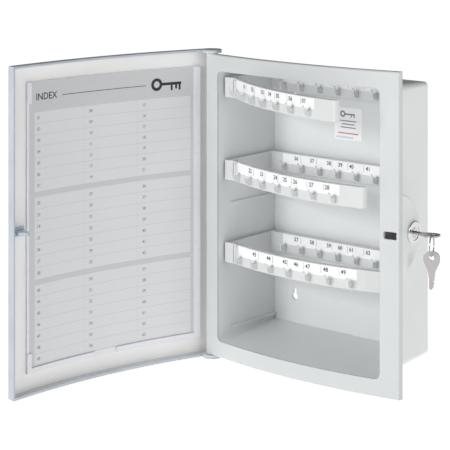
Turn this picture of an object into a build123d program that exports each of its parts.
from build123d import *
import math
import os

os.makedirs("parts", exist_ok=True)

# Key cabinet with a bowed plastic front. Millimetres; origin in the middle of the back (wall) face,
# +X to the right seen from the front, +Y into the wall, +Z up.

# ---- front flange -------------------------------------------------------------------------------
FLANGE_HALF_W = 151.0
FLANGE_HALF_H = 195.5
FRONT_Y = -126.5              # crown of the bowed front
BOW_R = 743.3                 # plan radius of the bowed front
BOW_CY = FRONT_Y + BOW_R
FLANGE_T = 7.5
SKIN = 3.0
LIP = 2.5
EDGE_FILLET = 1.8

# ---- door hinge and angles at rest --------------------------------------------------------------
PIVOT_X, PIVOT_Y = -143.5, -105.2
POST_R = 7.5                  # rounded left edge of the flange, concentric with the hinge
DOOR_OPEN = 102.5
EAR_R = 12.5
EAR_Z0, EAR_Z1 = 196.3, 200.4
PIN_R = 2.5
PIN_FIT = 0.02
RUN_FIT = 0.05
PIN_DEPTH = 14.0
PIN_TOP = 199.2
END_GAP = 0.3

# ---- box behind the flange ----------------------------------------------------------------------
BOX_HALF_W, BOX_HALF_H = 122.0, 170.0     # outside, at the back face
WALL = 2.1
RIB_T, RIB_DEPTH, RIB_FRONT = 3.0, 2.6, 90.0
RIB_LEVELS = (0.0, -161.0)
BACK_T = 2.5
DRAFT = 3.3
CORNER_R, INNER_CORNER_R = 5.0, 0.8
BACK_EDGE_R = 3.5

# ---- lock bulge, slot and lock ------------------------------------------------------------------
BULGE_R = 51.0
BULGE_CY, LOCK_Z = -114.0, -0.8
BULGE_X = 149.8
BULGE_WALL = 2.0
CAVITY_X0 = 127.9
WINDOW_FRONT, WINDOW_BACK, WINDOW_HALF_H = 3.5, 11.0, 26.0       # about the lock axis
SLOT_X0, SLOT_X1, SLOT_H, SLOT_R = 131.2, 148.3, 9.1, 2.0
SLOT_Z, SLOT_END_Y = -0.5, -107.0
LOCK_Y = -78.2
BARREL_R = 9.5
BORE_FIT = 0.1
BEZEL_R, BEZEL_T = 13.7, 2.6
DISH_R, DISH_T, BEZEL_EDGE_R = 9.5, 0.7, 1.1
BARREL_X0 = 131.6
NUT_R, NUT_T = 12.6, 3.0
PLUG_R = 6.0
PLUG_X0 = 131.3
PLUG_FACE = BULGE_X + BEZEL_T - 0.4
CAM_X0, CAM_T = 129.0, 2.2
CAM_REACH, CAM_ROOT_R = 31.1, 7.0
CAM_TIP_FRONT, CAM_TIP_BACK = -3.9, -0.1  # the tip leans this far forward of the lock axis
CAM_TAB_W, CAM_TAB_X1 = 2.2, 136.5
SPIGOT = 6.4
SCREW_R, SCREW_HEAD_R, SCREW_HEAD_T, SCREW_L = 1.5, 3.0, 1.8, 5.0

# ---- keys ---------------------------------------------------------------------------------------
KEY_T = 2.0
KEY_BLADE_L, KEY_BLADE_W = 16.0, 6.4
KEY_NECK_L, KEY_NECK_W = 4.0, 8.0
KEY_BOW_L, KEY_BOW_W = 26.0, 20.0
KEY_HOLE_R, KEY_HOLE_IN = 3.2, 7.5
GROOVE_W, GROOVE_T = 0.9, 0.35
KEY_GAP = 3.5                 # neck stands this far off the plug face when the key is home
KEYWAY_W, KEYWAY_T = 7.2, 2.8
RING_R, RING_WIRE = 13.0, 0.8
RING_DROP, RING_SHIFT = 9.52, 8.85         # ring centre below and beside the bow's hole
RING_TURN = -69.0             # plan direction of the ring's plane, degrees from +X
SPARE_DROP = 1.8              # spare key's hole centre below the ring's wire

# ---- key rails ----------------------------------------------------------------------------------
LEVELS = {"top": (165.5, 20.0), "middle": (58.5, 9.0), "bottom": (-48.5, 0.0)}   # top edge, swing
RAIL_H = 25.6
RAIL_T = 2.2
RAIL_PIVOT_X, RAIL_PIVOT_Y = -105.5, -102.7
RAIL_L = 227.0
RAIL_BOW = 16.4
RAIL_LIP = 4.5
RAIL_TIP_R, RAIL_TIP_L = 4.5, 6.0
RAIL_RADIUS = (RAIL_L ** 2 / 4 + RAIL_BOW ** 2) / (2 * RAIL_BOW)
RAIL_CX = RAIL_PIVOT_X + RAIL_L / 2
RAIL_CY = RAIL_PIVOT_Y - RAIL_BOW + RAIL_RADIUS
KNUCKLE_R = 3.1
KNUCKLE_CLEAR = 0.4
TONGUE_T = 2.2
RAIL_PIN_R = 1.4
HOOKS = 7
HOOK_PITCH = 29.2
HOOK_FIRST = 12.9
HOOK_T = 3.0
HOOK_OUT = 11.5
HOOK_LOW, HOOK_TIP, HOOK_SEAT, HOOK_TOP = -23.4, -9.2, -16.0, -13.2     # below the rail's top edge
HOOK_ROOT = 0.4               # root sinks this far into the rail
LABEL_T = 0.4
LABEL_H = 13.0
LABEL_DROP = 0.8
LABEL_START, LABEL_END = 7.0, 196.0
NOTCH_FIT = 0.2
ARM_X0, ARM_T = -119.4, 2.4
BRACKET_X0, BRACKET_X1 = -123.0, -109.5
BACK_RAIL_Y = -14.4
BACK_RAIL_X1 = 118.0
BACK_LIP = 9.0

# ---- door tray ----------------------------------------------------------------------------------
DOOR_GAP = 8.5                # inside face in front of the flange
DOOR_T = 3.0
DOOR_WRAP = 2.4               # rim reaches this far past the flange face
DOOR_X0, DOOR_X1 = -152.5, 153.6
DOOR_HALF_H = 200.0
DOOR_RIM_T = 2.0
DOOR_RIM_Z = 2.9
DOOR_EDGE_R = 2.4
HOOK_PLATE_X0, HOOK_PLATE_X1 = 132.6, 147.4
HOOK_PLATE_T = 4.6
HOOK_PLATE_REACH = 21.0
BARB_SHOULDER, BARB_LIP, BARB_DEPTH, NECK_ROOT = 5.2, 3.6, 5.2, 8.2
PAD_X, PAD_Z, PAD_T = 2.0, 5.5, 1.2       # foot of the latch hook, welded to the door
HOLDER_X0, HOLDER_X1 = -135.0, 127.0
HOLDER_Z0, HOLDER_Z1 = -176.0, 177.5
HOLDER_T = 1.4
HOLDER_LIP_W, HOLDER_LIP_T = 6.0, 1.6
STRIP_W, GUIDE_W, GUIDE_T = 9.0, 3.6, 0.9
CLIP_W, CLIP_UPPER, CLIP_LOWER = 7.0, 26.0, 24.0
CARD_T, CARD_FIT = 0.4, 0.2
NOTCH_X, NOTCH_W = 5.5, 33.0  # finger notch in the holder's bottom lip

# ---- back wall details --------------------------------------------------------------------------
KEYHOLE_X, KEYHOLE_Z = 86.0, 133.0
KEYHOLE_R, KEYHOLE_SLOT_R, KEYHOLE_RISE = 4.5, 2.3, 8.0
NOTE_X, NOTE_Z, NOTE_W, NOTE_H, NOTE_T = 1.0, 105.0, 43.0, 42.0, 0.6


def bow_y(x, offset=0.0):
    """Y of the bowed front surface at x, moved out (towards the viewer) by offset."""
    return BOW_CY - math.sqrt((BOW_R + offset) ** 2 - x * x)


def bowed_slab(x0, x1, z0, z1, out, inn):
    """Slab following the front bow, between the offsets out and inn from the front surface."""
    with BuildPart() as slab:
        with BuildSketch(Plane.XY.offset(z0)):
            with Locations((0, BOW_CY)):
                Circle(BOW_R + out)
                Circle(BOW_R + inn, mode=Mode.SUBTRACT)
            with Locations(((x0 + x1) / 2, FRONT_Y)):
                Rectangle(x1 - x0, 2 * BOW_CY / 3, mode=Mode.INTERSECT)
        extrude(amount=z1 - z0)
    return slab.part


def front_limit(offset):
    """Everything behind the bowed surface moved out by offset."""
    with BuildPart() as body:
        with Locations((0, BOW_CY, 0)):
            Cylinder(BOW_R + offset, 3 * FLANGE_HALF_H)
    return body.part


def box_at(x0, x1, y0, y1, z0, z1):
    """Plain block between two corners."""
    with BuildPart() as block:
        with Locations(((x0 + x1) / 2, (y0 + y1) / 2, (z0 + z1) / 2)):
            Box(x1 - x0, y1 - y0, z1 - z0)
    return block.part


def turned(part, angle, x, y):
    """Part turned about the vertical line through x, y; positive opens towards the viewer."""
    return Pos(x, y, 0) * Rot(0, 0, -angle) * Pos(-x, -y, 0) * part


def save(part, name):
    part.label = name
    export_step(part, f"parts/{name}.step")


# =================================================================================================
# Case: bowed flange, drafted box and lock pocket, one moulding kept as three nodes that meet
# =================================================================================================
with BuildPart() as flange:
    with BuildSketch(Plane.XY.offset(-FLANGE_HALF_H)):
        with Locations((0, BOW_CY)):
            Circle(BOW_R)
            Circle(BOW_R - FLANGE_T, mode=Mode.SUBTRACT)
        with Locations(((PIVOT_X + FLANGE_HALF_W) / 2, FRONT_Y)):
            Rectangle(FLANGE_HALF_W - PIVOT_X, 2 * BOW_CY / 3, mode=Mode.INTERSECT)
        with Locations((PIVOT_X, PIVOT_Y)):
            Circle(POST_R)
    extrude(amount=2 * FLANGE_HALF_H)
    front_edges = flange.edges().filter_by(
        lambda e: abs(abs(e.center().Z) - FLANGE_HALF_H) < 0.1
        and e.length > FLANGE_HALF_W
        and abs(e.position_at(0.5).Y - FRONT_Y) < 1.0
    )
    right_edge = flange.edges().filter_by(Axis.Z).sort_by(
        lambda e: e.center().Y - e.center().X)[0]
    fillet(list(front_edges) + [right_edge], EDGE_FILLET)

with BuildPart() as box_outer:
    with BuildSketch(Plane.XZ):
        RectangleRounded(2 * BOX_HALF_W, 2 * BOX_HALF_H, CORNER_R)
    extrude(amount=-FRONT_Y, taper=-DRAFT)
    fillet(box_outer.faces().sort_by(Axis.Y)[-1].edges(), BACK_EDGE_R)
    add(front_limit(-1.0), mode=Mode.INTERSECT)

with BuildPart() as box_inner:
    with BuildSketch(Plane.XZ.offset(BACK_T)):
        RectangleRounded(2 * (BOX_HALF_W - WALL), 2 * (BOX_HALF_H - WALL), INNER_CORNER_R)
    extrude(amount=-FRONT_Y + BACK_T, taper=-DRAFT)

with BuildPart() as bulge_outer:
    with BuildSketch(Plane.YZ.offset(BOX_HALF_W - WALL)):
        with Locations((BULGE_CY, LOCK_Z)):
            Circle(BULGE_R)
    extrude(amount=BULGE_X - BOX_HALF_W + WALL)
    fillet(bulge_outer.faces().sort_by(Axis.X)[-1].edges(), EDGE_FILLET)
    add(front_limit(-1.0), mode=Mode.INTERSECT)

with BuildPart() as bulge_inner:
    with BuildSketch(Plane.YZ.offset(CAVITY_X0)):
        with Locations((BULGE_CY, LOCK_Z)):
            Circle(BULGE_R - BULGE_WALL)
    extrude(amount=BULGE_X - BULGE_WALL - CAVITY_X0)
    add(front_limit(-SKIN), mode=Mode.INTERSECT)

# slot for the door's latch hook
with BuildPart() as latch_slot:
    with BuildSketch(Plane.XZ.offset(-FRONT_Y)):
        with Locations(((SLOT_X0 + SLOT_X1) / 2, SLOT_Z)):
            RectangleRounded(SLOT_X1 - SLOT_X0, SLOT_H, SLOT_R)
    extrude(amount=FRONT_Y - SLOT_END_Y)

with BuildPart() as case_flange:
    add(flange.part)
    add(bowed_slab(PIVOT_X + POST_R + LIP, FLANGE_HALF_W - LIP, -FLANGE_HALF_H + LIP,
                   FLANGE_HALF_H - LIP, -SKIN, -2 * FLANGE_T), mode=Mode.SUBTRACT)
    add(box_inner.part, mode=Mode.SUBTRACT)
    add(bulge_inner.part, mode=Mode.SUBTRACT)
    add(latch_slot.part, mode=Mode.SUBTRACT)
    # hinge pin holes in the top and bottom of the rounded left edge
    with Locations((PIVOT_X, PIVOT_Y, FLANGE_HALF_H), (PIVOT_X, PIVOT_Y, -FLANGE_HALF_H)):
        Cylinder(PIN_R + PIN_FIT, 2 * PIN_DEPTH, mode=Mode.SUBTRACT)
save(case_flange.part, "case_flange")

# window in the side wall that gives access to the lock nut
window = box_at(BOX_HALF_W - CORNER_R, CAVITY_X0 + 1, LOCK_Y - WINDOW_FRONT, LOCK_Y + WINDOW_BACK,
                LOCK_Z - WINDOW_HALF_H, LOCK_Z + WINDOW_HALF_H)

with BuildPart() as case_box:
    add(box_outer.part)
    add(box_inner.part, mode=Mode.SUBTRACT)
    # keyholes for hanging: entry circle below, narrow slot above
    with BuildSketch(Plane.XZ):
        for sx in (-1, 1):
            for sz in (-1, 1):
                with Locations((sx * KEYHOLE_X, sz * KEYHOLE_Z)):
                    Circle(KEYHOLE_R)
                with Locations((sx * KEYHOLE_X, sz * KEYHOLE_Z + KEYHOLE_RISE / 2)):
                    SlotCenterToCenter(KEYHOLE_RISE, 2 * KEYHOLE_SLOT_R, rotation=90)
    extrude(amount=2 * BACK_T, mode=Mode.SUBTRACT)
    # thin ribs along both side walls
    wall_back = BOX_HALF_W - WALL / 2
    wall_front = wall_back + RIB_FRONT * math.tan(math.radians(DRAFT))
    for side in (-1, 1):
        for rib_z in RIB_LEVELS:
            with BuildSketch(Plane.XY.offset(rib_z - RIB_T / 2)):
                with BuildLine():
                    Polyline((side * wall_front, -RIB_FRONT),
                             (side * (wall_front - RIB_DEPTH), -RIB_FRONT - 1),
                             (side * (wall_front - WALL - 1), -RIB_FRONT),
                             (side * (wall_back - WALL / 2 - RIB_DEPTH), -BACK_T),
                             (side * wall_back, -BACK_T), (side * wall_front, -RIB_FRONT))
                make_face()
            extrude(amount=RIB_T)
    add(window, mode=Mode.SUBTRACT)
    add(case_flange.part, mode=Mode.SUBTRACT)
save(case_box.part, "case_box")

with BuildPart() as lock_pocket:
    add(bulge_outer.part)
    add(bulge_inner.part, mode=Mode.SUBTRACT)
    add(box_inner.part, mode=Mode.SUBTRACT)
    # bore for the lock barrel
    with Locations(Location((BULGE_X, LOCK_Y, LOCK_Z), (0, 90, 0))):
        Cylinder(BARREL_R + BORE_FIT, 4 * BULGE_WALL, mode=Mode.SUBTRACT)
    add(window, mode=Mode.SUBTRACT)
    add(latch_slot.part, mode=Mode.SUBTRACT)
    add(case_flange.part, mode=Mode.SUBTRACT)
    add(case_box.part, mode=Mode.SUBTRACT)
save(lock_pocket.part, "lock_pocket")

# =================================================================================================
# Rails: fixed U frame with back rail, swing rail, pivot pin, labels
# =================================================================================================
def rail_point(s, out):
    """Plan position and tangent angle at distance s along the rail's chord, out in front."""
    x = s - RAIL_L / 2
    lean = math.asin(x / RAIL_RADIUS)
    r = RAIL_RADIUS + out
    return RAIL_CX + r * math.sin(lean), RAIL_CY - r * math.cos(lean), math.degrees(lean)


def rail_band(s0, s1, z0, z1, out, inn):
    """Band following the swing rail's bow between two chord distances and two offsets."""
    (x0, _, _), (x1, _, _) = rail_point(s0, 0), rail_point(s1, 0)
    with BuildPart() as band:
        with BuildSketch(Plane.XY.offset(z0)):
            with Locations((RAIL_CX, RAIL_CY)):
                Circle(RAIL_RADIUS + out)
                Circle(RAIL_RADIUS + inn, mode=Mode.SUBTRACT)
            with Locations(((x0 + x1) / 2, RAIL_PIVOT_Y)):
                Rectangle(x1 - x0, RAIL_RADIUS, mode=Mode.INTERSECT)
        extrude(amount=z1 - z0)
    return band.part


def key_hook():
    """Upright fin with a rising pointed tip; root on the plane Y = 0, pointing to -Y."""
    with BuildPart() as hook:
        with BuildSketch(Plane.YZ.offset(-HOOK_T / 2)):
            with BuildLine():
                Polyline((HOOK_ROOT, HOOK_LOW), (-0.7 * HOOK_OUT, HOOK_LOW + 1.6),
                         (-0.95 * HOOK_OUT, HOOK_LOW + 5.4), (-HOOK_OUT, HOOK_TIP))
                Spline((-HOOK_OUT, HOOK_TIP), (-0.79 * HOOK_OUT, HOOK_SEAT + 2.0),
                       (-0.44 * HOOK_OUT, HOOK_SEAT), (HOOK_ROOT, HOOK_TOP))
                Line((HOOK_ROOT, HOOK_TOP), (HOOK_ROOT, HOOK_LOW))
            make_face()
        extrude(amount=HOOK_T)
    return hook.part


def label_notch():
    """Clearance cut round a hook's upper end, for the label strips."""
    half = HOOK_T / 2 + NOTCH_FIT
    return box_at(-half, half, -HOOK_T, HOOK_T, -RAIL_H, HOOK_TOP + LABEL_DROP)


HOOK_SHAPE = key_hook()
NOTCH_SHAPE = label_notch()
HALF_T = RAIL_T / 2

for level, (z_top, swing) in LEVELS.items():
    z_low = z_top - RAIL_H
    knuckle_z0 = z_low + TONGUE_T + KNUCKLE_CLEAR
    knuckle_z1 = z_top - TONGUE_T - KNUCKLE_CLEAR

    with BuildPart() as rail_frame:
        # front bracket plate and side arm
        add(box_at(BRACKET_X0, BRACKET_X1, RAIL_PIVOT_Y - HALF_T, RAIL_PIVOT_Y + HALF_T,
                   z_low, z_top))
        add(box_at(ARM_X0, ARM_X0 + ARM_T, RAIL_PIVOT_Y, BACK_RAIL_Y + RAIL_T, z_low, z_top))
        # back rail with its ledges and right-hand end tab
        add(box_at(ARM_X0, BACK_RAIL_X1, BACK_RAIL_Y, BACK_RAIL_Y + RAIL_T, z_low, z_top))
        add(box_at(ARM_X0, BACK_RAIL_X1, BACK_RAIL_Y, BACK_RAIL_Y + BACK_LIP,
                   z_top - RAIL_T / 2, z_top))
        add(box_at(ARM_X0, BACK_RAIL_X1, BACK_RAIL_Y, BACK_RAIL_Y + BACK_LIP,
                   z_low, z_low + RAIL_T / 2))
        add(box_at(BACK_RAIL_X1 - RAIL_T, BACK_RAIL_X1, BACK_RAIL_Y, -BACK_T - 0.1, z_low, z_top))
        add(box_at(ARM_X0, ARM_X0 + ARM_T, BACK_RAIL_Y, -BACK_T - 0.1, z_low, z_top))
        # tongues that carry the pivot pin
        for t0 in (z_low, z_top - TONGUE_T):
            add(box_at(BRACKET_X1 - 1, RAIL_PIVOT_X, RAIL_PIVOT_Y - HALF_T,
                       RAIL_PIVOT_Y + KNUCKLE_R, t0, t0 + TONGUE_T))
            with Locations((RAIL_PIVOT_X, RAIL_PIVOT_Y, t0 + TONGUE_T / 2)):
                Cylinder(KNUCKLE_R, TONGUE_T)
        with Locations((RAIL_PIVOT_X, RAIL_PIVOT_Y, (z_low + z_top) / 2)):
            Cylinder(RAIL_PIN_R + PIN_FIT, 2 * RAIL_H, mode=Mode.SUBTRACT)
        for i in range(HOOKS):
            add(Pos(RAIL_PIVOT_X + HOOK_FIRST + i * HOOK_PITCH, BACK_RAIL_Y, z_top) * HOOK_SHAPE)
    save(rail_frame.part, f"rail_frame_{level}")

    with BuildPart() as swing_rail:
        with Locations((RAIL_PIVOT_X, RAIL_PIVOT_Y, (knuckle_z0 + knuckle_z1) / 2)):
            Cylinder(KNUCKLE_R, knuckle_z1 - knuckle_z0)
        add(rail_band(0.5, KNUCKLE_R + 3, knuckle_z0, knuckle_z1, HALF_T, -HALF_T))
        add(rail_band(KNUCKLE_R + 1, RAIL_L - RAIL_TIP_L, z_low, z_top, HALF_T, -HALF_T))
        for t0 in (z_low, z_top - RAIL_T / 2):
            add(rail_band(KNUCKLE_R + 1, RAIL_L - RAIL_TIP_L, t0, t0 + RAIL_T / 2,
                          0, -HALF_T - RAIL_LIP))
        with Locations((RAIL_PIVOT_X, RAIL_PIVOT_Y, (z_low + z_top) / 2)):
            Cylinder(RAIL_PIN_R + RUN_FIT, 2 * RAIL_H, mode=Mode.SUBTRACT)
        # rounded end that closes the channel
        add(rail_band(RAIL_L - RAIL_TIP_L, RAIL_L, z_low, z_top, HALF_T, -HALF_T - RAIL_LIP))
        tip_edge = swing_rail.edges().filter_by(Axis.Z).filter_by(
            lambda e: e.center().X > RAIL_PIVOT_X + RAIL_L - RAIL_T).sort_by(Axis.Y)[0]
        fillet(tip_edge, RAIL_TIP_R)
        for i in range(HOOKS):
            hx, hy, lean = rail_point(HOOK_FIRST + i * HOOK_PITCH, HALF_T)
            add(Pos(hx, hy, z_top) * Rot(0, 0, lean) * HOOK_SHAPE)
    save(turned(swing_rail.part, swing, RAIL_PIVOT_X, RAIL_PIVOT_Y), f"swing_rail_{level}")

    with BuildPart() as rail_pin:
        with Locations((RAIL_PIVOT_X, RAIL_PIVOT_Y, (z_low + z_top) / 2)):
            Cylinder(RAIL_PIN_R, RAIL_H)
        with Locations((RAIL_PIVOT_X, RAIL_PIVOT_Y, z_top + RAIL_T / 4)):
            Cylinder(2 * RAIL_PIN_R, RAIL_T / 2)
    save(rail_pin.part, f"rail_pivot_pin_{level}")

    with BuildPart() as front_label:
        add(rail_band(LABEL_START, LABEL_END, z_top - LABEL_DROP - LABEL_H, z_top - LABEL_DROP,
                      HALF_T + LABEL_T, HALF_T))
        for i in range(HOOKS):
            hx, hy, lean = rail_point(HOOK_FIRST + i * HOOK_PITCH, HALF_T)
            add(Pos(hx, hy, z_top) * Rot(0, 0, lean) * NOTCH_SHAPE, mode=Mode.SUBTRACT)
    save(turned(front_label.part, swing, RAIL_PIVOT_X, RAIL_PIVOT_Y), f"number_strip_{level}_front")

    with BuildPart() as back_label:
        add(box_at(RAIL_PIVOT_X + LABEL_START + 2, RAIL_PIVOT_X + LABEL_END,
                   BACK_RAIL_Y - LABEL_T, BACK_RAIL_Y,
                   z_top - LABEL_DROP - LABEL_H, z_top - LABEL_DROP))
        for i in range(HOOKS):
            add(Pos(RAIL_PIVOT_X + HOOK_FIRST + i * HOOK_PITCH, BACK_RAIL_Y, z_top)
                * NOTCH_SHAPE, mode=Mode.SUBTRACT)
    save(back_label.part, f"number_strip_{level}_back")

with BuildPart() as wall_note:
    add(box_at(NOTE_X - NOTE_W / 2, NOTE_X + NOTE_W / 2, -BACK_T - NOTE_T, -BACK_T,
               NOTE_Z - NOTE_H / 2, NOTE_Z + NOTE_H / 2))
save(wall_note.part, "wall_note_card")

# =================================================================================================
# Door: tray, latch hook, card holder, card, hinge pins (drawn shut, then turned open)
# =================================================================================================
with BuildPart() as door:
    add(bowed_slab(DOOR_X0, DOOR_X1, -DOOR_HALF_H, DOOR_HALF_H, DOOR_GAP + DOOR_T, -DOOR_WRAP))
    outer = door.edges().filter_by(
        lambda e: abs(e.position_at(0.5).Y - bow_y(e.position_at(0.5).X, DOOR_GAP + DOOR_T)) < 0.2)
    fillet(outer, DOOR_EDGE_R)
    add(bowed_slab(DOOR_X0 - 1, DOOR_X1 - DOOR_RIM_T, -DOOR_HALF_H + DOOR_RIM_Z,
                   DOOR_HALF_H - DOOR_RIM_Z, DOOR_GAP, -DOOR_WRAP - 5), mode=Mode.SUBTRACT)
    for side in (-1, 1):
        ear_mid = side * (EAR_Z0 + EAR_Z1) / 2
        with Locations((PIVOT_X, PIVOT_Y, ear_mid)):
            Cylinder(EAR_R, EAR_Z1 - EAR_Z0)
        with Locations((PIVOT_X, PIVOT_Y, side * (PIN_TOP + END_GAP - PIN_DEPTH / 2))):
            Cylinder(PIN_R + RUN_FIT, PIN_DEPTH, mode=Mode.SUBTRACT)
save(turned(door.part, DOOR_OPEN, PIVOT_X, PIVOT_Y), "door")

for side, name in ((1, "hinge_pin_upper"), (-1, "hinge_pin_lower")):
    pin_low = FLANGE_HALF_H - PIN_DEPTH + END_GAP
    with BuildPart() as hinge_pin:
        with Locations((PIVOT_X, PIVOT_Y, side * (pin_low + PIN_TOP) / 2)):
            Cylinder(PIN_R, PIN_TOP - pin_low)
        chamfer(hinge_pin.edges(), 0.4)
    save(hinge_pin.part, name)

plate_mid_x = (HOOK_PLATE_X0 + HOOK_PLATE_X1) / 2
plate_root_y = bow_y(plate_mid_x, DOOR_GAP)
with BuildPart() as latch_hook:
    with BuildSketch(Plane.XY.offset(LOCK_Z - HOOK_PLATE_T / 2)):
        with BuildLine():
            tip_y = plate_root_y + HOOK_PLATE_REACH
            neck_x = HOOK_PLATE_X0 + BARB_DEPTH
            Polyline((HOOK_PLATE_X0, plate_root_y - PAD_T), (HOOK_PLATE_X1, plate_root_y),
                     (HOOK_PLATE_X1, tip_y - BARB_SHOULDER), (plate_mid_x + DOOR_T / 2, tip_y),
                     (plate_mid_x - DOOR_T / 2, tip_y), (HOOK_PLATE_X0, tip_y - BARB_LIP),
                     (HOOK_PLATE_X0, tip_y - BARB_SHOULDER), (neck_x, tip_y - BARB_SHOULDER),
                     (neck_x, plate_root_y + NECK_ROOT),
                     (HOOK_PLATE_X0, plate_root_y + NECK_ROOT - PAD_T),
                     (HOOK_PLATE_X0, plate_root_y - PAD_T))
        make_face()
    extrude(amount=HOOK_PLATE_T)
    add(bowed_slab(HOOK_PLATE_X0 - PAD_X, HOOK_PLATE_X1 + PAD_X, LOCK_Z - PAD_Z, LOCK_Z + PAD_Z,
                   DOOR_GAP + 2 * DOOR_T, DOOR_GAP), mode=Mode.SUBTRACT)
    add(bowed_slab(HOOK_PLATE_X0 - PAD_X, HOOK_PLATE_X1 + PAD_X, LOCK_Z - PAD_Z, LOCK_Z + PAD_Z,
                   DOOR_GAP, DOOR_GAP - PAD_T))
save(turned(latch_hook.part, DOOR_OPEN, PIVOT_X, PIVOT_Y), "latch_hook")

with BuildPart() as card_holder:
    inner = DOOR_GAP - HOLDER_T
    lip_in = inner - CARD_T - HOLDER_LIP_T
    add(bowed_slab(HOLDER_X0, HOLDER_X1, HOLDER_Z0, HOLDER_Z1, DOOR_GAP, inner))
    # bottom lip and hinge-side strip that keep the card in
    add(bowed_slab(HOLDER_X0, HOLDER_X1, HOLDER_Z0, HOLDER_Z0 + HOLDER_LIP_W, inner, lip_in))
    add(bowed_slab(HOLDER_X0, HOLDER_X0 + STRIP_W, HOLDER_Z0, HOLDER_Z1, inner, lip_in))
    # slim guide on the free side, with a clip at each corner
    add(bowed_slab(HOLDER_X1 - GUIDE_W, HOLDER_X1, HOLDER_Z0, HOLDER_Z1, inner, inner - GUIDE_T))
    for z0, z1 in ((HOLDER_Z1 - CLIP_UPPER, HOLDER_Z1), (HOLDER_Z0, HOLDER_Z0 + CLIP_LOWER)):
        add(bowed_slab(HOLDER_X1 - CLIP_W, HOLDER_X1, z0, z1, inner - CARD_T - CARD_FIT, lip_in))
        add(bowed_slab(HOLDER_X1 - GUIDE_W, HOLDER_X1, z0, z1, inner, lip_in))
    # finger notch in the bottom lip
    add(bowed_slab(NOTCH_X - NOTCH_W / 2, NOTCH_X + NOTCH_W / 2, HOLDER_Z0 - 1,
                   HOLDER_Z0 + HOLDER_LIP_W + 1, inner, lip_in - 1), mode=Mode.SUBTRACT)
save(turned(card_holder.part, DOOR_OPEN, PIVOT_X, PIVOT_Y), "card_holder")

with BuildPart() as index_card:
    add(bowed_slab(HOLDER_X0 + STRIP_W + CARD_FIT, HOLDER_X1 - GUIDE_W - CARD_FIT,
                   HOLDER_Z0 + HOLDER_LIP_W + CARD_FIT, HOLDER_Z1 - 1, inner, inner - CARD_T))
save(turned(index_card.part, DOOR_OPEN, PIVOT_X, PIVOT_Y), "index_card")

# =================================================================================================
# Lock: housing, nut, plug, cam, screw
# =================================================================================================
def rod(radius, x0, x1):
    """Cylinder along the lock axis from x0 to x1."""
    with BuildPart() as cylinder:
        with Locations(Location(((x0 + x1) / 2, LOCK_Y, LOCK_Z), (0, 90, 0))):
            Cylinder(radius, x1 - x0)
    return cylinder.part


with BuildPart() as lock_housing:
    add(rod(BARREL_R, BARREL_X0, BULGE_X + 0.5))
    add(rod(BEZEL_R, BULGE_X, BULGE_X + BEZEL_T))
    rim = lock_housing.faces().sort_by(Axis.X)[-1].edges()
    fillet(rim, BEZEL_EDGE_R)
    add(rod(DISH_R, BULGE_X + BEZEL_T - DISH_T, BULGE_X + BEZEL_T + 1), mode=Mode.SUBTRACT)
    add(rod(PLUG_R + RUN_FIT, BARREL_X0 - 1, BULGE_X + BEZEL_T + 1), mode=Mode.SUBTRACT)
save(lock_housing.part, "lock_housing")

with BuildPart() as lock_nut:
    nut_x1 = BULGE_X - BULGE_WALL
    with BuildSketch(Plane.YZ.offset(nut_x1 - NUT_T)):
        with Locations((LOCK_Y, LOCK_Z)):
            RegularPolygon(NUT_R, 6)
            Circle(BARREL_R + PIN_FIT, mode=Mode.SUBTRACT)
    extrude(amount=NUT_T)
save(lock_nut.part, "lock_nut")

with BuildPart() as lock_plug:
    add(rod(PLUG_R, PLUG_X0, PLUG_FACE))
    chamfer(lock_plug.faces().sort_by(Axis.X)[-1].edges(), 0.4)
    add(box_at(CAM_X0 - 0.1, PLUG_X0 + 0.5, LOCK_Y - SPIGOT / 2, LOCK_Y + SPIGOT / 2,
               LOCK_Z - SPIGOT / 2, LOCK_Z + SPIGOT / 2))
    add(box_at(PLUG_FACE - KEY_BLADE_L - 1, PLUG_FACE + 1, LOCK_Y - KEYWAY_W / 2,
               LOCK_Y + KEYWAY_W / 2, LOCK_Z - KEYWAY_T / 2, LOCK_Z + KEYWAY_T / 2),
        mode=Mode.SUBTRACT)
    add(rod(SCREW_R, CAM_X0 - 1, CAM_X0 + SCREW_L + 1), mode=Mode.SUBTRACT)
save(lock_plug.part, "lock_plug")

# the cam points up at rest (unlocked) and swings down to the front to lock
with BuildPart() as lock_cam:
    with BuildSketch(Plane.YZ.offset(CAM_X0)):
        with BuildLine():
            Polyline((LOCK_Y - 0.93 * CAM_ROOT_R, LOCK_Z),
                     (LOCK_Y + CAM_TIP_FRONT, LOCK_Z + CAM_REACH),
                     (LOCK_Y + CAM_TIP_BACK, LOCK_Z + CAM_REACH),
                     (LOCK_Y + 0.93 * CAM_ROOT_R, LOCK_Z), (LOCK_Y - 0.93 * CAM_ROOT_R, LOCK_Z))
        make_face()
        with Locations((LOCK_Y, LOCK_Z)):
            Circle(CAM_ROOT_R)
            Rectangle(SPIGOT + RUN_FIT, SPIGOT + RUN_FIT, mode=Mode.SUBTRACT)
    extrude(amount=CAM_T)
    add(box_at(CAM_X0, CAM_TAB_X1, LOCK_Y + CAM_TIP_FRONT, LOCK_Y + CAM_TIP_BACK,
               LOCK_Z + CAM_REACH - CAM_TAB_W, LOCK_Z + CAM_REACH))
save(lock_cam.part, "lock_cam")

with BuildPart() as cam_screw:
    head_x = CAM_X0 - BORE_FIT - SCREW_HEAD_T
    add(rod(SCREW_HEAD_R, head_x, head_x + SCREW_HEAD_T))
    add(rod(SCREW_R - RUN_FIT, head_x + SCREW_HEAD_T / 2, CAM_X0 + SCREW_L))
    add(box_at(head_x - 1, head_x + SCREW_HEAD_T / 3, LOCK_Y - BARREL_R, LOCK_Y + BARREL_R,
               LOCK_Z - SCREW_R / 3, LOCK_Z + SCREW_R / 3), mode=Mode.SUBTRACT)
save(cam_screw.part, "cam_screw")


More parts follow.
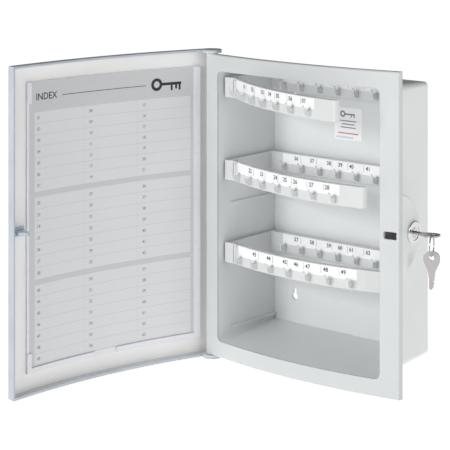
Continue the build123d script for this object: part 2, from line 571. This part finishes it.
# =================================================================================================
# Keys and ring
# =================================================================================================
def flat_key():
    """Small key lying in the XY plane, blade tip towards -X, shoulder at X = 0."""
    end = KEY_NECK_L + KEY_BOW_L
    with BuildPart() as key:
        with BuildSketch(Plane.XY.offset(-KEY_T / 2)):
            with BuildLine():
                Polyline((0, -KEY_NECK_W / 2), (KEY_NECK_L, -KEY_NECK_W / 2))
                Spline((KEY_NECK_L, -KEY_NECK_W / 2), (KEY_NECK_L + 9, -KEY_BOW_W * 0.38),
                       (end - 9, -KEY_BOW_W / 2), (end - 1.8, -KEY_BOW_W * 0.36), (end, 0),
                       (end - 1.8, KEY_BOW_W * 0.36), (end - 9, KEY_BOW_W / 2),
                       (KEY_NECK_L + 9, KEY_BOW_W * 0.38), (KEY_NECK_L, KEY_NECK_W / 2))
                Polyline((KEY_NECK_L, KEY_NECK_W / 2), (0, KEY_NECK_W / 2), (0, -KEY_NECK_W / 2))
            make_face()
            with Locations((end - KEY_HOLE_IN, 0)):
                Circle(KEY_HOLE_R, mode=Mode.SUBTRACT)
        extrude(amount=KEY_T)
        half = KEY_BLADE_W / 2
        with BuildSketch(Plane.XY.offset(-KEY_T / 2)):
            with BuildLine():
                Polyline((0.5, -half), (-KEY_BLADE_L + 2, -half), (-KEY_BLADE_L, -half + 2.4),
                         (-KEY_BLADE_L + 1.6, 0.8), (-12.0, half - 0.9), (-10.6, 1.2),
                         (-8.8, half), (-7.2, 1.7), (-5.4, half - 0.5), (-4.2, half),
                         (0.5, half), (0.5, -half))
            make_face()
        extrude(amount=KEY_T)
        for face_z in (-KEY_T / 2, KEY_T / 2):
            add(box_at(-KEY_BLADE_L, -1, -GROOVE_W, 0, face_z - GROOVE_T, face_z + GROOVE_T),
                mode=Mode.SUBTRACT)
    return key.part


KEY_SHAPE = flat_key()
KEY_HOME_X = PLUG_FACE + KEY_GAP
HOLE_X = KEY_HOME_X + KEY_NECK_L + KEY_BOW_L - KEY_HOLE_IN
save(Pos(KEY_HOME_X, LOCK_Y, LOCK_Z) * KEY_SHAPE, "key_in_lock")

ring_turn = math.radians(RING_TURN)
RING_CX = HOLE_X + RING_SHIFT * math.cos(ring_turn)
RING_CY = LOCK_Y + RING_SHIFT * math.sin(ring_turn)
RING_CZ = LOCK_Z - RING_DROP
with BuildPart() as key_ring:
    with Locations(Pos(RING_CX, RING_CY, RING_CZ) * Rot(0, 0, RING_TURN) * Rot(90, 0, 0)):
        Torus(RING_R, RING_WIRE)
save(key_ring.part, "key_ring")

with BuildPart() as key_spare:
    hole_z = RING_CZ - RING_R - SPARE_DROP
    add(Location((RING_CX, RING_CY, hole_z), (0, 0, RING_TURN)) * Rot(0, -90, 0)
        * Pos(KEY_HOLE_IN - KEY_NECK_L - KEY_BOW_L, 0, 0) * KEY_SHAPE)
save(key_spare.part, "key_spare")
